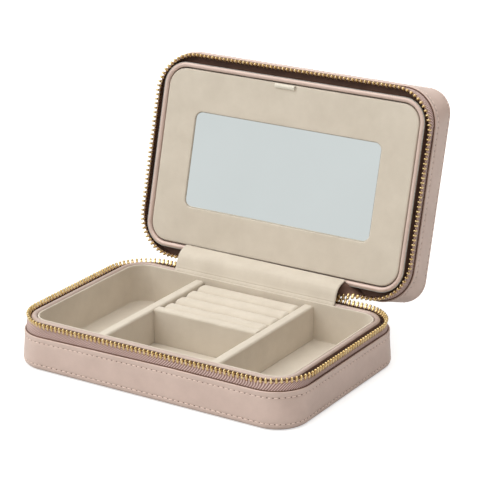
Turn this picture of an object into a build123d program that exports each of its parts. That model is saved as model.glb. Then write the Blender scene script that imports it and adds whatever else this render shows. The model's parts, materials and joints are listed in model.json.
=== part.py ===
from build123d import *
import math
import os

# Travel jewelry case with a zip-around lid, standing open on a table.
# Frame: millimetres, origin at the centre of the underside, +X along the width,
# +Y towards the hinge at the back, +Z up. Lid pieces are drawn in a lid frame whose z = 0
# is the outer face of the lid, then turned over onto the base and swung open.

# ---- driving dimensions: the whole case
WIDTH = 190.0
DEPTH = 128.2
CLOSED_HEIGHT = 54.9
CORNER_R = 22.0
EDGE_R = 3.5
LEATHER = 1.2
BASE_RIM_Z = 28.6
LID_RIM_Z = 26.0
BASE_BAND_Z = 22.6
LID_BAND_Z = 19.6
BOARD = 1.8
GLUE = 0.2
END_PANEL_INSET = 11.0

# ---- lid hinge
HINGE_Y = 65.3
HINGE_Z = 29.3
LID_OPEN = 104.45
FLAP_X0 = -59.0
FLAP_X1 = 54.0

# ---- inner rim, tray and lid lining; the base's are narrower by TRAY_NARROW at the right
RIM_OUTER = (91.0, 58.2, 15.6)
RIM_INNER = (87.4, 54.4, 12.0)
RIM_SKIN = 0.6
RIM_SKIRT_Z = 16.0
RIM_ROUND = 1.2
LINER_OUTER = (87.3, 54.3, 11.9)
LINER_INNER = (86.2, 53.4, 11.0)
TRAY_NARROW = 1.8
LINER_TOP_Z = 28.0
FLOOR_Z = 4.0
LEDGE_INNER = (84.0, 51.0, 9.0)
LEDGE_TOP_Z = 21.4

# ---- dividers and ring rolls
DIVIDER_T = 6.4
DIVIDER_TOP_Z = 25.5
DIVIDER_ROUND = 2.2
LEFT_DIVIDER_X = -39.8
RIGHT_DIVIDER_X = 37.3
CROSS_DIVIDER_Y = 2.4
FIT = 0.05
ROLL_COUNT = 4
ROLL_TOP_Z = 25.0
ROLL_BOTTOM_Z = 9.0
ROLL_GAP = 0.3

# ---- zipper
TAPE_INSET = 1.2
TAPE_T = 0.6
TAPE_FOOT_Z = 10.0
TAPE_EDGE_BELOW_RIM = 1.2
TOOTH_INSET = 1.5
TOOTH_PITCH = 2.8
TOOTH_WIDE = 1.15
TOOTH_DEEP = 2.0
TOOTH_REACH = 1.25
TOOTH_SHORT = -0.2
FREE_MESH_Y = 40.0
SPINE_HALF = 39.5
CHAIN_END_X = 42.0
STOP_LONG = 1.4
STOP_GAP = 0.8

# ---- slider and pull
SLIDER_X = 46.3
SLIDER_LONG = 10.0
SLIDER_HIGH = 7.6
PLATE_T = 1.0
CHANNEL = 2.5
FLANGE = 0.7
WEDGE_LONG = 3.0
BRIDGE_STAND_OFF = 2.1
BRIDGE_HALF = 3.0
BRIDGE_POST = 1.2
BRIDGE_R = 0.45
LINK_EYE_R = 0.6
LINK_WIRE = 1.0
LINK_THICK = 1.2
LINK_CENTRES = 3.6
PULL_LONG = 19.5
PULL_WIDE = 7.0
PULL_T = 1.2
PULL_ROUND = 1.5
PULL_FORK = 3.0
PULL_PIN_HALF = 2.5
PULL_ARM = 1.2

# ---- mirror panel and what is behind it
PANEL = (86.9, 53.9, 11.6)
PANEL_BACK_Z = 21.5
PANEL_FACE_Z = 25.5
MIRROR = (65.0, 29.6, 4.6)
MIRROR_Y = -0.9
MIRROR_BACK_Z = 22.6
MIRROR_FACE_Z = 24.6
MIRROR_GAP = 0.2
TAB_X = -4.6
TAB_WIDE = 14.0
MAGNET_R = 1.4
MAGNET_T = 1.2
MAGNET_X = 40.0
TAB_DEEP = 2.6
HOOK_BAR = (72.0, 36.0, 44.0, 3.0)
HOOK_COUNT = 6
HOOK_PITCH = 24.0
HOOK_R = 0.9
HOOK_POST = 6.0
HOOK_TIP = 5.0
POCKET_HALF = 78.0
POCKET_FOOT_Y = -49.0
POCKET_MOUTH_Y = -8.0
POCKET_DEEP = 8.0
POCKET_WALL = 1.2

# ---- leather spine outside the hinge
SPINE_T = 1.1
SPINE_LOW_Z = 8.0
SPINE_HIGH_Z = 47.0
SPINE_SPLIT = 0.5

CLOSING_PLANE_Z = (BASE_RIM_Z + CLOSED_HEIGHT - LID_RIM_Z) / 2
SWING = Pos(0, HINGE_Y, HINGE_Z) * Rot(-LID_OPEN, 0, 0) * Pos(0, -HINGE_Y, -HINGE_Z)
TO_LID = SWING * Pos(0, 0, CLOSED_HEIGHT) * Rot(180, 0, 0)

parts = {}


def outline(inset):
    """Half width, half depth and corner radius of the case's plan, moved in by inset."""
    return (WIDTH / 2 - inset, DEPTH / 2 - inset, CORNER_R - inset)


def slab(plan, z0, z1):
    """A rounded-rectangle plate between two heights."""
    half_x, half_y, radius = plan
    return extrude(Pos(0, 0, z0) * RectangleRounded(2 * half_x, 2 * half_y, radius), z1 - z0)


def ring(outer, inner, z0, z1):
    """A rounded-rectangle wall between two plans."""
    return slab(outer, z0, z1) - slab(inner, z0 - 1, z1 + 1)


def block(x0, x1, y0, y1, z0, z1):
    """A box between two corners."""
    return Pos((x0 + x1) / 2, (y0 + y1) / 2, (z0 + z1) / 2) * Box(x1 - x0, y1 - y0, z1 - z0)


def edges_at(shape, z, tolerance=0.01):
    """The edges that lie flat at one height."""
    return [e for e in shape.edges() if abs(e.bounding_box().min.Z - z) < tolerance
            and abs(e.bounding_box().max.Z - z) < tolerance]


def save(node, shape):
    """Keep one sub-part under its name, as the solids it is made of."""
    solids = shape.solids()
    parts[node] = solids[0] if len(solids) == 1 else Compound(children=solids)


# ---- one half of the case, from its outer face at z = 0 to its rim


def leather_skin(band_z):
    """The outer leather: side wall, rolled edge and turn-under around the end panel."""
    body = slab(outline(0), 0, band_z)
    body = fillet(edges_at(body, 0), EDGE_R)
    hollow = slab(outline(LEATHER), LEATHER, band_z + 1)
    hollow = fillet(edges_at(hollow, LEATHER), EDGE_R - LEATHER)
    return body - hollow - slab(outline(END_PANEL_INSET), -1, LEATHER + 1)


def end_panel():
    """The flat leather panel that closes the outer face."""
    return slab(outline(END_PANEL_INSET + FIT), 0, LEATHER)


def core_shell(band_z):
    """The stiff board box under the leather."""
    inset = LEATHER + TAPE_T + GLUE
    shell = slab(outline(inset), LEATHER, band_z - 1)
    shell = fillet(edges_at(shell, LEATHER), EDGE_R - LEATHER)
    return shell - slab(outline(inset + BOARD), LEATHER + BOARD, band_z)


def narrowed(plan, narrow):
    """A plan made narrower, for pieces whose right side is moved in."""
    half_x, half_y, radius = plan
    return (half_x - narrow / 2, half_y, radius)


def collar(narrow):
    """The outer and inner plans of the board collar under the rim's leather."""
    outer = [v - RIM_SKIN for v in narrowed(RIM_OUTER, narrow)]
    inner = [v + RIM_SKIN for v in narrowed(RIM_INNER, narrow)]
    return outer, inner


def rim_frame(rim_z, narrow=0.0):
    """The board collar that stands inside the shell and carries the rim."""
    outer, inner = collar(narrow)
    return Pos(-narrow / 2, 0, 0) * ring(outer, inner, LEATHER + BOARD, rim_z - RIM_SKIN)


def rim_leather(rim_z, narrow=0.0):
    """The leather folded over the collar's edge, with a rounded crown."""
    body = ring(narrowed(RIM_OUTER, narrow), narrowed(RIM_INNER, narrow), RIM_SKIRT_Z, rim_z)
    body = fillet(edges_at(body, rim_z), RIM_ROUND)
    outer, inner = collar(narrow)
    body -= ring(outer, inner, RIM_SKIRT_Z - 1, rim_z - RIM_SKIN)
    return Pos(-narrow / 2, 0, 0) * body


def zipper_tape(rim_z):
    """The woven tape that stands out of the case between the leather and the rim."""
    return ring(outline(TAPE_INSET), outline(TAPE_INSET + TAPE_T), TAPE_FOOT_Z,
                rim_z - TAPE_EDGE_BELOW_RIM)


# ---- zipper teeth along the plan's outline


def outline_length(plan):
    """The distance once round a rounded rectangle."""
    half_x, half_y, radius = plan
    return 4 * (half_x - radius) + 4 * (half_y - radius) + 2 * math.pi * radius


def outline_point(plan, s):
    """The place and outward direction at distance s from the middle of the back, going left."""
    half_x, half_y, radius = plan
    run_x = half_x - radius
    run_y = half_y - radius
    arc = math.pi * radius / 2
    runs = [run_x, 2 * run_y, 2 * run_x, 2 * run_y, run_x]
    starts = [(0, half_y), (-half_x, run_y), (-run_x, -half_y), (half_x, -run_y), (run_x, half_y)]
    centres = [(-run_x, run_y), (-run_x, -run_y), (run_x, -run_y), (run_x, run_y)]
    for side in range(5):
        outward = 90 + 90 * side
        along = math.radians(outward + 90)
        if s <= runs[side]:
            x, y = starts[side]
            return x + s * math.cos(along), y + s * math.sin(along), outward
        s -= runs[side]
        if side < 4 and s <= arc:
            angle = outward + math.degrees(s / radius)
            x, y = centres[side]
            turn = math.radians(angle)
            return x + radius * math.cos(turn), y + radius * math.sin(turn), angle
        s -= arc


def teeth_row(first, last, root_z, towards):
    """Teeth from first to last along the chain, standing from root_z towards the other row."""
    path = outline(TOOTH_INSET)
    row = []
    count = int((last - first) / TOOTH_PITCH)
    for i in range(count + 1):
        x, y, angle = outline_point(path, first + i * TOOTH_PITCH)
        reach = TOOTH_REACH if y < FREE_MESH_Y else TOOTH_SHORT
        tip_z = CLOSING_PLANE_Z + towards * reach
        tooth = Box(TOOTH_DEEP, TOOTH_WIDE, abs(tip_z - root_z))
        row.append(Pos(x, y, (tip_z + root_z) / 2) * Rot(0, 0, angle) * tooth)
    return Compound(children=row)


def flap_hem(rim_z, back):
    """The hem of the suede flap, which takes the place of the leather on the collar's edge."""
    y = sorted((back * RIM_INNER[1], back * RIM_OUTER[1]))
    return block(FLAP_X0, FLAP_X1, y[0], y[1], rim_z - RIM_SKIN, rim_z)


def make_base():
    """The fixed half: shell, leather, rim and the base's side of the zipper."""
    save("base_leather_band", leather_skin(BASE_BAND_Z))
    save("base_bottom_panel", end_panel())
    save("base_core_shell", core_shell(BASE_BAND_Z))
    save("base_rim_frame", rim_frame(BASE_RIM_Z, TRAY_NARROW))
    save("base_inner_rim", rim_leather(BASE_RIM_Z, TRAY_NARROW) - flap_hem(BASE_RIM_Z, 1))
    back_gap = block(-SPINE_HALF, SPINE_HALF, 0, DEPTH, 0, CLOSED_HEIGHT)
    save("base_zipper_tape", zipper_tape(BASE_RIM_Z) - back_gap)
    root_z = BASE_RIM_Z - TAPE_EDGE_BELOW_RIM
    length = outline_length(outline(TOOTH_INSET))
    save("base_zipper_teeth", teeth_row(CHAIN_END_X, length - CHAIN_END_X, root_z, 1))
    chain_y = DEPTH / 2 - TOOTH_INSET
    stop = Box(STOP_LONG, TOOTH_DEEP, CLOSING_PLANE_Z - root_z)
    stop_z = (root_z + CLOSING_PLANE_Z) / 2
    stops = [Pos(side * (SPINE_HALF + STOP_GAP), chain_y, stop_z) * stop for side in (-1, 1)]
    save("base_zipper_end_stops", Compound(children=stops))


def make_tray():
    """The suede-lined tray with its dividers and ring rolls."""
    tray = slab(narrowed(LINER_OUTER, TRAY_NARROW), LEATHER + BOARD, LINER_TOP_Z)
    tray -= slab(narrowed(LINER_INNER, TRAY_NARROW), FLOOR_Z, LINER_TOP_Z + 1)
    save("tray_liner", Pos(-TRAY_NARROW / 2, 0, 0) * tray)
    half_y = LINER_INNER[1] - FIT
    for name, x in (("left_divider", LEFT_DIVIDER_X), ("right_divider", RIGHT_DIVIDER_X)):
        wall = block(x - DIVIDER_T / 2, x + DIVIDER_T / 2, -half_y, half_y, FLOOR_Z, DIVIDER_TOP_Z)
        top = [e for e in edges_at(wall, DIVIDER_TOP_Z) if e.length > half_y]
        save(name, fillet(top, DIVIDER_ROUND))
    x0 = LEFT_DIVIDER_X + DIVIDER_T / 2 + FIT
    x1 = RIGHT_DIVIDER_X - DIVIDER_T / 2 - FIT
    y0 = CROSS_DIVIDER_Y - DIVIDER_T / 2
    y1 = CROSS_DIVIDER_Y + DIVIDER_T / 2
    cross = block(x0, x1, y0, y1, FLOOR_Z, DIVIDER_TOP_Z)
    top = [e for e in edges_at(cross, DIVIDER_TOP_Z) if e.length > DIVIDER_T + 1]
    save("cross_divider", fillet(top, DIVIDER_ROUND))
    save("ring_roll_bed", block(x0, x1, y1 + FIT, half_y, FLOOR_Z, ROLL_BOTTOM_Z))
    pitch = (half_y - y1 - FIT) / ROLL_COUNT
    radius = (pitch - ROLL_GAP) / 2
    for i in range(ROLL_COUNT):
        y = half_y - pitch * (i + 0.5)
        roll = block(x0, x1, y - radius, y + radius, ROLL_BOTTOM_Z, ROLL_TOP_Z)
        long_edges = [e for e in roll.edges() if e.length > x1 - x0 - 1]
        save(f"ring_roll_{i + 1}", fillet(long_edges, radius - 0.4))


def make_lid():
    """The lid's shell, leather, rim, lining and its side of the zipper."""
    save("lid_leather_band", TO_LID * leather_skin(LID_BAND_Z))
    save("lid_top_panel", TO_LID * end_panel())
    save("lid_core_shell", TO_LID * core_shell(LID_BAND_Z))
    save("lid_rim_frame", TO_LID * rim_frame(LID_RIM_Z))
    save("lid_inner_rim", TO_LID * (rim_leather(LID_RIM_Z) - flap_hem(LID_RIM_Z, -1)))
    corner_x = WIDTH / 2 - CORNER_R
    back_gap = block(-SPINE_HALF, corner_x, -DEPTH, 0, 0, CLOSED_HEIGHT)
    save("lid_zipper_tape", TO_LID * (zipper_tape(LID_RIM_Z) - back_gap))
    root_z = CLOSED_HEIGHT - LID_RIM_Z + TAPE_EDGE_BELOW_RIM
    length = outline_length(outline(TOOTH_INSET))
    first = CHAIN_END_X + TOOTH_PITCH / 2
    save("lid_zipper_teeth", SWING * teeth_row(first, length - corner_x, root_z, -1))
    lining = slab(LINER_OUTER, LEATHER + BOARD, LEDGE_TOP_Z)
    lining -= slab(LEDGE_INNER, FLOOR_Z, LEDGE_TOP_Z + 1)
    magnet_y = (LINER_OUTER[1] + LEDGE_INNER[1]) / 2
    discs = [Pos(x, magnet_y, LEDGE_TOP_Z - MAGNET_T / 2) * Cylinder(MAGNET_R, MAGNET_T)
             for x in (-MAGNET_X, MAGNET_X)]
    magnets = Compound(children=discs)
    for disc in discs:
        lining -= disc
    save("lid_lining", TO_LID * lining)
    save("lid_catch_magnets", TO_LID * magnets)


def make_necklace_store():
    """The hooks and the pocket behind the mirror panel."""
    bar_x, bar_y0, bar_y1, bar_t = HOOK_BAR
    bar_z = FLOOR_Z + bar_t
    save("necklace_hook_bar", TO_LID * block(-bar_x, bar_x, bar_y0, bar_y1, FLOOR_Z, bar_z))
    hooks = []
    for i in range(HOOK_COUNT):
        x = (i - (HOOK_COUNT - 1) / 2) * HOOK_PITCH
        y = (bar_y0 + bar_y1) / 2
        post = Pos(x, y, bar_z + HOOK_POST / 2) * Cylinder(HOOK_R, HOOK_POST)
        tip_y = y + HOOK_TIP / 2 - HOOK_R
        tip = Pos(x, tip_y, bar_z + HOOK_POST) * Rot(90, 0, 0) * Cylinder(HOOK_R, HOOK_TIP)
        hooks.append(post + tip)
    save("necklace_hooks", TO_LID * Compound(children=hooks))
    y0 = POCKET_FOOT_Y
    y1 = POCKET_MOUTH_Y
    front_z = FLOOR_Z + POCKET_DEEP
    front = block(-POCKET_HALF, POCKET_HALF, y0, y1, front_z, front_z + POCKET_WALL)
    save("necklace_pocket_front", TO_LID * front)
    side_x = POCKET_HALF - POCKET_WALL
    gusset = [
        block(-POCKET_HALF, -side_x, y0, y1, FLOOR_Z, front_z),
        block(side_x, POCKET_HALF, y0, y1, FLOOR_Z, front_z),
        block(FIT - side_x, side_x - FIT, y0, y0 + POCKET_WALL, FLOOR_Z, front_z),
    ]
    save("necklace_pocket_gusset", TO_LID * Compound(children=gusset))


def make_mirror_panel():
    """The suede-covered panel that carries the mirror and folds down out of the lid."""
    half_x, half_y, radius = MIRROR
    pocket_plan = (half_x + MIRROR_GAP, half_y + MIRROR_GAP, radius + MIRROR_GAP)
    panel = slab(PANEL, PANEL_BACK_Z, PANEL_FACE_Z)
    panel -= Pos(0, MIRROR_Y, 0) * slab(pocket_plan, MIRROR_BACK_Z, PANEL_FACE_Z + 1)
    panel_edge_y = PANEL[1] - 2.0
    discs = [Pos(x, panel_edge_y, PANEL_BACK_Z + MAGNET_T / 2) * Cylinder(MAGNET_R, MAGNET_T)
             for x in (-MAGNET_X, MAGNET_X)]
    for disc in discs:
        panel -= disc
    tab_y1 = PANEL[1] - 0.3
    tab = block(TAB_X - TAB_WIDE / 2, TAB_X + TAB_WIDE / 2, tab_y1 - TAB_DEEP, tab_y1, PANEL_FACE_Z - 1.0,
                PANEL_FACE_Z + 1.1)
    panel -= tab
    save("mirror_panel", TO_LID * panel)
    save("mirror_glass", TO_LID * (Pos(0, MIRROR_Y, 0) * slab(MIRROR, MIRROR_BACK_Z, MIRROR_FACE_Z)))
    save("panel_magnets", TO_LID * Compound(children=discs))
    save("panel_pull_tab", TO_LID * tab)


def make_hinge():
    """The leather spine outside the hinge and the hems of the suede flap inside it."""
    y0 = DEPTH / 2
    y1 = y0 + SPINE_T
    half = SPINE_HALF - 0.5
    save("hinge_spine_base_half", block(-half, half, y0, y1, SPINE_LOW_Z, HINGE_Z - SPINE_SPLIT))
    lid_half = block(-half, half, y0, y1, HINGE_Z + SPINE_SPLIT, SPINE_HIGH_Z)
    save("hinge_spine_lid_half", SWING * lid_half)
    save("hinge_flap_base_hem", flap_hem(BASE_RIM_Z, 1))
    save("hinge_flap_lid_hem", TO_LID * flap_hem(LID_RIM_Z, -1))


def make_slider():
    """The slider, the ring link through its bridge and the pull that hangs from the link."""
    chain_y = DEPTH / 2 - TOOTH_INSET
    outer_y = chain_y + CHANNEL / 2
    inner_y = chain_y - CHANNEL / 2
    z0 = CLOSING_PLANE_Z - SLIDER_HIGH / 2
    z1 = CLOSING_PLANE_Z + SLIDER_HIGH / 2
    x0 = SLIDER_X - SLIDER_LONG / 2
    x1 = SLIDER_X + SLIDER_LONG / 2
    body = block(x0, x1, outer_y, outer_y + PLATE_T, z0, z1)
    body += block(x0, x1, inner_y - PLATE_T, inner_y, z0, z1)
    for low in (z0, z1 - FLANGE):
        body += block(x0, x1, outer_y - FLANGE, outer_y, low, low + FLANGE)
        body += block(x0, x1, inner_y, inner_y + FLANGE, low, low + FLANGE)
    wedge_z = CLOSING_PLANE_Z + TOOTH_REACH + 0.3
    body += block(x1 - 1 - WEDGE_LONG, x1 - 1, inner_y, outer_y, wedge_z, z1 - FLANGE)
    bridge_y = outer_y + PLATE_T + BRIDGE_STAND_OFF
    post = BRIDGE_POST / 2
    for x in (SLIDER_X - BRIDGE_HALF, SLIDER_X + BRIDGE_HALF):
        body += block(x - post, x + post, outer_y + PLATE_T, bridge_y + BRIDGE_R,
                      CLOSING_PLANE_Z - post, CLOSING_PLANE_Z + post)
    bar = Cylinder(BRIDGE_R, 2 * BRIDGE_HALF)
    bar = Pos(SLIDER_X, bridge_y, CLOSING_PLANE_Z) * Rot(0, 90, 0) * bar
    save("zipper_slider", body + bar)

    eye_z = CLOSING_PLANE_Z - LINK_CENTRES / 2
    link_plane = Pos(SLIDER_X - LINK_THICK / 2, bridge_y, eye_z) * Rot(0, 90, 0)
    link_r = LINK_EYE_R + LINK_WIRE
    loop = SlotCenterToCenter(LINK_CENTRES, 2 * link_r) - SlotCenterToCenter(LINK_CENTRES, 2 * LINK_EYE_R)
    save("zipper_link", extrude(link_plane * loop, LINK_THICK))

    pivot_z = CLOSING_PLANE_Z - LINK_CENTRES
    pin = Cylinder(BRIDGE_R, 2 * PULL_PIN_HALF)
    pull = Pos(SLIDER_X, bridge_y, pivot_z) * Rot(0, 90, 0) * pin
    plate_top = pivot_z - PULL_FORK
    arm = PULL_ARM / 2
    for side in (-1, 1):
        fork = block(-arm, arm, -PULL_T / 2, PULL_T / 2, plate_top - 0.5, pivot_z + arm)
        pull += Pos(SLIDER_X + side * (PULL_PIN_HALF - 0.1), bridge_y, 0) * fork
    plate = block(-PULL_WIDE / 2, PULL_WIDE / 2, -PULL_T / 2, PULL_T / 2, pivot_z - PULL_LONG, plate_top)
    plate = fillet(plate.edges().filter_by(Axis.Y), PULL_ROUND)
    save("zipper_pull", pull + Pos(SLIDER_X, bridge_y, 0) * plate)


make_base()
make_tray()
make_lid()
make_necklace_store()
make_mirror_panel()
make_hinge()
make_slider()

os.makedirs("parts", exist_ok=True)
for node, shape in parts.items():
    shape.label = node
    export_step(shape, f"parts/{node}.step")
    print(node, round(shape.volume, 1))
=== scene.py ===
import json
import math

import bpy
import numpy as np
from mathutils import Matrix, Vector, noise


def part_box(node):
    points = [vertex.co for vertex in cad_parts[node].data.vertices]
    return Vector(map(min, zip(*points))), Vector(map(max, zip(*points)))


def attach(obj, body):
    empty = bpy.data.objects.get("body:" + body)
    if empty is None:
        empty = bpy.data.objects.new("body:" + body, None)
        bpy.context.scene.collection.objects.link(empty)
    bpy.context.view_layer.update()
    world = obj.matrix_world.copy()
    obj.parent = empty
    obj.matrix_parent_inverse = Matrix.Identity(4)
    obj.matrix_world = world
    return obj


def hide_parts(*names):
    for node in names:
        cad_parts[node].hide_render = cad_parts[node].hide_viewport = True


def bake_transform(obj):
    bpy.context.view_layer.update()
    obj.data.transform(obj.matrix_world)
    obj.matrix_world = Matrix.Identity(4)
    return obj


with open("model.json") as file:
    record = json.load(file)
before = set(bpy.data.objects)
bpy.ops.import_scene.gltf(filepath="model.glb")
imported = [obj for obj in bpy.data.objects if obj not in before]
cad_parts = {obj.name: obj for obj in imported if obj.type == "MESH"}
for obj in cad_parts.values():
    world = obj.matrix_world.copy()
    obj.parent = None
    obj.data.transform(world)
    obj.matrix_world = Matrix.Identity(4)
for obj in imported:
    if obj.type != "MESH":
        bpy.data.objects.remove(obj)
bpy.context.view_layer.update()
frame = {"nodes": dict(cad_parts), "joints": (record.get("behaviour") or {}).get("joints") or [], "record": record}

# The looks of a zip-around travel jewelry case. Shapes are written in millimetres, either in
# the base's own frame or in the lid's (z = 0 on the lid's outer face, hinge side at -y), and
# every mesh is turned into metres and put in its place when it is made.
MM = 0.001

# ---- sizes that come from the frame
JOINTS = {j["name"]: j for j in frame["joints"]}
HINGE = Vector(JOINTS["lid_hinge"]["pos_m"]) / MM
LID_OPEN = math.radians(-JOINTS["lid_hinge"]["range_deg"][0])
band_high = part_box("base_leather_band")[1] / MM
CASE = (band_high.x, band_high.y, 22.0)
BASE_BAND_Z = band_high.z
BASE_RIM_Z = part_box("base_inner_rim")[1].z / MM

# ---- sizes of the lid's half, and what both halves share
CLOSED_HEIGHT = 54.9
LID_BAND_Z = 19.6
LID_RIM_Z = 26.0
LEATHER = 1.2
EDGE_R = 3.5
END_PANEL_INSET = 11.0
LID_FACE_CORNER_R = 15.0
BASE_FACE_CORNER_R = 19.5
# A plan is a rounded rectangle: half its width, half its depth, its corner radius and its centre in x.
TRAY_NARROW = 1.8
LID_RIM = (90.3, 57.5, 14.9, 0.0)
LID_RIM_WIDE = 2.9
BASE_RIM = (90.9 - TRAY_NARROW / 2, 58.0, 15.4, -TRAY_NARROW / 2)
BASE_RIM_WIDE = 3.4
LID_LINER = (87.3, 54.3, 11.9, 0.0)
BASE_LINER = (87.3 - TRAY_NARROW / 2, 54.3, 11.9, -TRAY_NARROW / 2)
LINER_T = 1.1
LINER_TOP_Z = 28.0
FLOOR_Z = 4.0
SPINE_HALF = 39.5
FLAP_X0 = -59.0
FLAP_X1 = 54.0

TO_BASE = Matrix.Identity(4)
SWING = Matrix.Translation(HINGE) @ Matrix.Rotation(-LID_OPEN, 4, "X") @ Matrix.Translation(-HINGE)
TO_LID = SWING @ Matrix.Translation((0, 0, CLOSED_HEIGHT)) @ Matrix.Rotation(math.pi, 4, "X")


# ---------------------------------------------------------------- material nodes


def new_material(name, **constants):
    """A material, its node tree and its Principled shader. Constants go on the shader's own sockets,
    named with _ for a space."""
    material = bpy.data.materials.new(name)
    material.use_nodes = True
    tree = material.node_tree
    shader = tree.nodes["Principled BSDF"]
    for key, value in constants.items():
        shader.inputs[key.replace("_", " ")].default_value = value
    return material, tree, shader


def put(tree, value, socket):
    """Links a socket's value to an input, or sets the input to a plain value."""
    if isinstance(value, bpy.types.NodeSocket):
        tree.links.new(value, socket)
    else:
        socket.default_value = value


def node(tree, kind, **inputs):
    """A node with its inputs given by name."""
    made = tree.nodes.new(kind)
    for key, value in inputs.items():
        put(tree, value, made.inputs[key])
    return made


def math_node(tree, operation, *values):
    """The result of one Math node."""
    made = tree.nodes.new("ShaderNodeMath")
    made.operation = operation
    for socket, value in zip(made.inputs, values):
        put(tree, value, socket)
    return made.outputs[0]


def mixed_values(tree, first, second, share):
    """Two values added, the second with the given share of the whole."""
    return math_node(tree, "ADD", math_node(tree, "MULTIPLY", first, 1 - share),
                     math_node(tree, "MULTIPLY", second, share))


def coordinates(tree, output="Object"):
    return tree.nodes.new("ShaderNodeTexCoord").outputs[output]


def noise_value(tree, vector, scale, detail=2.0, roughness=0.5):
    """Noise of a given scale, in features per metre."""
    made = node(tree, "ShaderNodeTexNoise", Vector=vector, Scale=scale, Detail=detail, Roughness=roughness)
    return made.outputs["Fac"]


def ramp(tree, value, stops):
    """A colour ramp; stops are (position, colour)."""
    made = tree.nodes.new("ShaderNodeValToRGB")
    tree.links.new(value, made.inputs[0])
    elements = made.color_ramp.elements
    while len(elements) < len(stops):
        elements.new(0.5)
    for element, (position, colour) in zip(elements, stops):
        element.position = position
        element.color = (*colour, 1.0)
    return made.outputs["Color"]


def spread(tree, value, low, high, start=0.0):
    """A value from start..1 mapped to low..high."""
    made = node(tree, "ShaderNodeMapRange", Value=value)
    for key, number in (("From Min", start), ("To Min", low), ("To Max", high)):
        made.inputs[key].default_value = number
    return made.outputs["Result"]


def paint(tree, shader, value, stops):
    """The shader's colour, a ramp over a value."""
    tree.links.new(ramp(tree, value, stops), shader.inputs["Base Color"])


def roughen(tree, shader, value, low, high):
    """The shader's roughness, low..high over a value from 0..1."""
    tree.links.new(spread(tree, value, low, high), shader.inputs["Roughness"])


def bump(tree, shader, height, distance, strength):
    """A bump of the given depth in metres on the shader's normal, over the bump that is there."""
    made = node(tree, "ShaderNodeBump", Height=height, Distance=distance, Strength=strength)
    normal = shader.inputs["Normal"]
    if normal.is_linked:
        tree.links.new(normal.links[0].from_socket, made.inputs["Normal"])
    tree.links.new(made.outputs["Normal"], normal)


def leather_material(name, dark, light, roughness=(0.36, 0.5), coat=0.12):
    """Pebbled leather with a slight metallic sheen."""
    material, tree, shader = new_material(name, Metallic=0.18, Coat_Weight=coat, Coat_Roughness=0.35,
                                          Sheen_Weight=0.08)
    place = coordinates(tree)
    paint(tree, shader, noise_value(tree, place, 90.0, 4.0, 0.6), [(0.3, dark), (0.7, light)])
    pebble = node(tree, "ShaderNodeTexVoronoi", Vector=place, Scale=1150.0)
    pebble.feature = "SMOOTH_F1"
    grain = noise_value(tree, place, 2600.0, 3.0, 0.6)
    bump(tree, shader, pebble.outputs["Distance"], 0.00010, 0.55)
    bump(tree, shader, grain, 0.00005, 0.5)
    roughen(tree, shader, grain, *roughness)
    return material


def suede_material(name, dark, light):
    """Short-napped suede: mottled where the nap lies differently, dull, with a soft sheen."""
    material, tree, shader = new_material(name, Specular_IOR_Level=0.2, Sheen_Weight=0.25,
                                          Sheen_Roughness=0.5)
    place = coordinates(tree)
    strokes = noise_value(tree, place, 60.0, 5.0, 0.62)
    fibre = noise_value(tree, place, 3200.0, 3.0, 0.7)
    paint(tree, shader, mixed_values(tree, strokes, fibre, 0.28), [(0.3, dark), (0.7, light)])
    bump(tree, shader, fibre, 0.00012, 0.5)
    bump(tree, shader, noise_value(tree, place, 700.0, 2.0), 0.00012, 0.3)
    roughen(tree, shader, fibre, 0.85, 1.0)
    return material


def tape_material(name, dark, middle, light):
    """Woven tape with slanting ribs; the UV map runs along the tape and across it, in metres."""
    material, tree, shader = new_material(name, Sheen_Weight=0.15)
    split = node(tree, "ShaderNodeSeparateXYZ", Vector=coordinates(tree, "UV"))
    along = math_node(tree, "MULTIPLY", split.outputs[0], 2 * math.pi / TAPE_RIB)
    across = math_node(tree, "MULTIPLY", split.outputs[1], 2 * math.pi * TAPE_SLANT / TAPE_RIB)
    rib = math_node(tree, "SINE", math_node(tree, "SUBTRACT", along, across))
    thread = math_node(tree, "SINE", math_node(tree, "MULTIPLY", split.outputs[1], 2 * math.pi / TAPE_THREAD))
    woven = spread(tree, mixed_values(tree, rib, thread, 0.12), 0.0, 1.0, start=-1.0)
    paint(tree, shader, woven, [(0.0, dark), (0.5, middle), (1.0, light)])
    bump(tree, shader, woven, 0.00025, 0.8)
    roughen(tree, shader, woven, 0.9, 0.65)
    return material


def brass_material(name):
    """Pale polished brass with fine handling marks."""
    material, tree, shader = new_material(name, Metallic=1.0)
    place = coordinates(tree)
    patina = noise_value(tree, place, 300.0, 3.0)
    paint(tree, shader, patina, [(0.3, (0.66, 0.46, 0.20)), (0.7, (0.93, 0.73, 0.40))])
    marks = noise_value(tree, place, 2400.0, 2.0)
    roughen(tree, shader, marks, 0.16, 0.32)
    bump(tree, shader, marks, 0.00003, 0.4)
    return material


def ribbon_material(name):
    """Ivory satin ribbon with fine cross ribs."""
    material, tree, shader = new_material(name, Sheen_Weight=0.3)
    wave = node(tree, "ShaderNodeTexWave", Vector=coordinates(tree), Scale=700.0, Distortion=0.6)
    wave.bands_direction = "X"
    ribs = wave.outputs["Fac"]
    paint(tree, shader, ribs, [(0.0, (0.66, 0.60, 0.49)), (1.0, (0.84, 0.79, 0.69))])
    bump(tree, shader, ribs, 0.00008, 0.6)
    roughen(tree, shader, ribs, 0.55, 0.4)
    return material


def noisy_material(name, texture, stops, roughness, bump_depth=0.0, **constants):
    """A material whose colour and roughness follow one noise, given as (scale, detail, roughness)."""
    material, tree, shader = new_material(name, **constants)
    value = noise_value(tree, coordinates(tree), *texture)
    paint(tree, shader, value, stops)
    roughen(tree, shader, value, *roughness)
    if bump_depth:
        bump(tree, shader, value, bump_depth, 0.6)
    return material


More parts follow.
